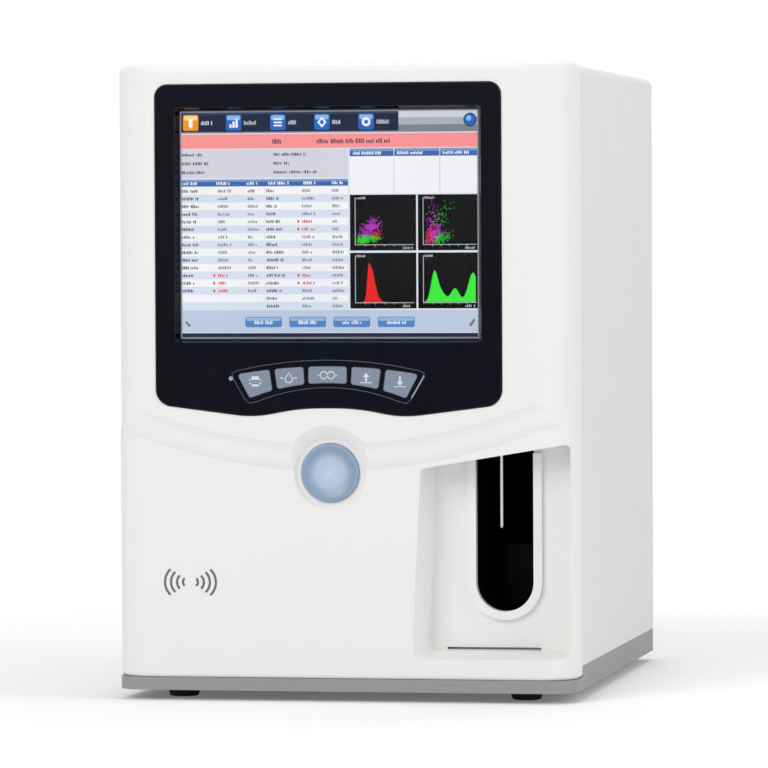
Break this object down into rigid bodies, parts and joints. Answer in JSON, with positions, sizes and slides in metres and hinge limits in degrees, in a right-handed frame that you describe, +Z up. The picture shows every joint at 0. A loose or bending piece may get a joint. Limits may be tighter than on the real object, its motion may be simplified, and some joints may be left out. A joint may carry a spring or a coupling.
{
  "type": "hematology analyzer",
  "caption": "Bench-top blood cell analyzer with a screen, keys, a round start key and a sampling recess with a moving aspiration probe.",
  "frame": {"origin": "middle of the footprint on the surface it stands on, under the feet", "axes": "+Z up, the screen faces -Y, +X to the right of someone who looks at the screen"},
  "size_m": [0.325, 0.4252, 0.444],
  "materials": {
    "cover_white": "fine satin moulding",
    "panel_white": "powder coat",
    "base_grey": "fine texture",
    "foot_rubber": "matte",
    "screw_steel": "zinc plated",
    "bezel_black": "polished",
    "touch_glass": "clear",
    "screen": "lit picture",
    "bracket_steel": "bare sheet",
    "board_green": "solder mask",
    "lamp": "frosted",
    "key_blue": "satin",
    "start_blue": "satin",
    "white_part": "plain",
    "spring_steel": "bare",
    "liner_black": "matte",
    "drip_plastic": "plain",
    "aluminium": "brushed",
    "probe_steel": "polished",
    "motor_black": "black",
    "belt_rubber": "matte",
    "acrylic": "clear",
    "bottle": "natural",
    "valve_white": "plain",
    "case_steel": "galvanised",
    "fan_black": "matte",
    "inlet_black": "matte",
    "port_metal": "nickel",
    "nipple": "bright"
  },
  "bodies": {
    "housing": {"front_cover": "cover_white", "top_cover": "panel_white", "left_side_panel": "panel_white", "right_side_panel": "panel_white", "rear_panel": "panel_white", "base_tray": "base_grey", "rubber_feet": "foot_rubber", "cover_screws": "screw_steel", "display_bezel": "bezel_black", "touch_glass": "touch_glass", "lcd_module": "screen", "display_bracket": "bracket_steel", "keypad_board": "board_green", "status_lamp": "lamp", "start_key_holder": "white_part", "reader_board": "board_green", "drip_tray": "drip_plastic", "probe_slot_liner": "liner_black", "chassis_frame": "bracket_steel", "sampling_plate": "aluminium", "carriage_rail": "probe_steel", "carriage_motor": "motor_black", "carriage_belt": "belt_rubber", "counting_baths": "acrylic", "waste_chamber": "bottle", "syringe_frame": "aluminium", "syringe_barrels": "acrylic", "syringe_motors": "motor_black", "valve_bank": "valve_white", "air_pumps": "motor_black", "upper_shelf": "bracket_steel", "optical_bench": "aluminium", "main_board": "board_green", "power_supply": "case_steel", "fan_frame": "fan_black", "fan_grille": "screw_steel", "mains_inlet": "inlet_black", "interface_ports": "port_metal", "reagent_ports": "nipple"},
    "print_key": {"print_key": "key_blue"},
    "flush_key": {"flush_key": "key_blue"},
    "mode_key": {"mode_key": "key_blue"},
    "prime_key": {"prime_key": "key_blue"},
    "drain_key": {"drain_key": "key_blue"},
    "start_key": {"start_key": "start_blue", "start_key_spring": "spring_steel"},
    "carriage": {"probe_carriage": "aluminium", "probe_wash_block": "acrylic", "slider_motor": "motor_black"},
    "slider": {"probe_slider": "aluminium", "aspiration_probe": "probe_steel"},
    "slider_screw": {"slider_lead_screw": "probe_steel"},
    "drive_pulley": {"drive_pulley": "aluminium"},
    "idler_pulley": {"idler_pulley": "aluminium"},
    "sample_plunger": {"sample_plunger": "aluminium"},
    "sample_screw": {"sample_screw": "probe_steel"},
    "diluent_plunger": {"diluent_plunger": "aluminium"},
    "diluent_screw": {"diluent_screw": "probe_steel"},
    "fan_rotor": {"fan_rotor": "fan_black"},
    "power_rocker": {"power_rocker": "inlet_black"}
  },
  "joints": [
    {"name": "print_key_press", "type": "slide", "parent": "housing", "child": "print_key", "axis": [0, 1, 0], "range_m": [0, 0.0012], "stiffness_N_per_m": 600},
    {"name": "flush_key_press", "type": "slide", "parent": "housing", "child": "flush_key", "axis": [0, 1, 0], "range_m": [0, 0.0012], "stiffness_N_per_m": 600},
    {"name": "mode_key_press", "type": "slide", "parent": "housing", "child": "mode_key", "axis": [0, 1, 0], "range_m": [0, 0.0012], "stiffness_N_per_m": 600},
    {"name": "prime_key_press", "type": "slide", "parent": "housing", "child": "prime_key", "axis": [0, 1, 0], "range_m": [0, 0.0012], "stiffness_N_per_m": 600},
    {"name": "drain_key_press", "type": "slide", "parent": "housing", "child": "drain_key", "axis": [0, 1, 0], "range_m": [0, 0.0012], "stiffness_N_per_m": 600},
    {"name": "start_key_press", "type": "slide", "parent": "housing", "child": "start_key", "axis": [0, 1, 0], "range_m": [0, 0.0025], "stiffness_N_per_m": 500},
    {"name": "carriage_slide", "type": "slide", "parent": "housing", "child": "carriage", "axis": [0, 1, 0], "range_m": [0, 0.15]},
    {"name": "probe_lift", "type": "slide", "parent": "carriage", "child": "slider", "axis": [0, 0, 1], "range_m": [-0.03, 0.055]},
    {"name": "slider_screw_turn", "type": "hinge", "parent": "carriage", "child": "slider_screw", "pos_m": [0.09, -0.1304, 0.186], "axis": [0, 0, 1], "range_deg": [-1360, 2485]},
    {"name": "drive_pulley_turn", "type": "hinge", "parent": "housing", "child": "drive_pulley", "pos_m": [0.128, 0.0796, 0.334], "axis": [1, 0, 0], "range_deg": [0, 993]},
    {"name": "idler_pulley_turn", "type": "hinge", "parent": "housing", "child": "idler_pulley", "pos_m": [0.128, -0.1524, 0.334], "axis": [1, 0, 0], "range_deg": [0, 993]},
    {"name": "sample_plunger_slide", "type": "slide", "parent": "housing", "child": "sample_plunger", "axis": [0, 0, 1], "range_m": [-0.04, 0]},
    {"name": "sample_screw_turn", "type": "hinge", "parent": "housing", "child": "sample_screw", "pos_m": [-0.128, -0.1064, 0.064], "axis": [0, 0, 1], "range_deg": [-2410, 10]},
    {"name": "diluent_plunger_slide", "type": "slide", "parent": "housing", "child": "diluent_plunger", "axis": [0, 0, 1], "range_m": [-0.04, 0]},
    {"name": "diluent_screw_turn", "type": "hinge", "parent": "housing", "child": "diluent_screw", "pos_m": [-0.088, -0.1064, 0.064], "axis": [0, 0, 1], "range_deg": [-2410, 10]},
    {"name": "fan_spin", "type": "hinge", "parent": "housing", "child": "fan_rotor", "pos_m": [0, 0.1776, 0.35], "axis": [0, 1, 0], "continuous": true},
    {"name": "power_rocker_tilt", "type": "hinge", "parent": "housing", "child": "power_rocker", "pos_m": [-0.084, 0.1876, 0.062], "axis": [1, 0, 0], "range_deg": [0, 16]}
  ],
  "couplings": [
    {"joint": "slider_screw_turn", "follows": "probe_lift", "rad_per_m": 785.4},
    {"joint": "drive_pulley_turn", "follows": "carriage_slide", "rad_per_m": 114.94},
    {"joint": "idler_pulley_turn", "follows": "carriage_slide", "rad_per_m": 114.94},
    {"joint": "sample_screw_turn", "follows": "sample_plunger_slide", "rad_per_m": 1047.2},
    {"joint": "diluent_screw_turn", "follows": "diluent_plunger_slide", "rad_per_m": 1047.2}
  ]
}
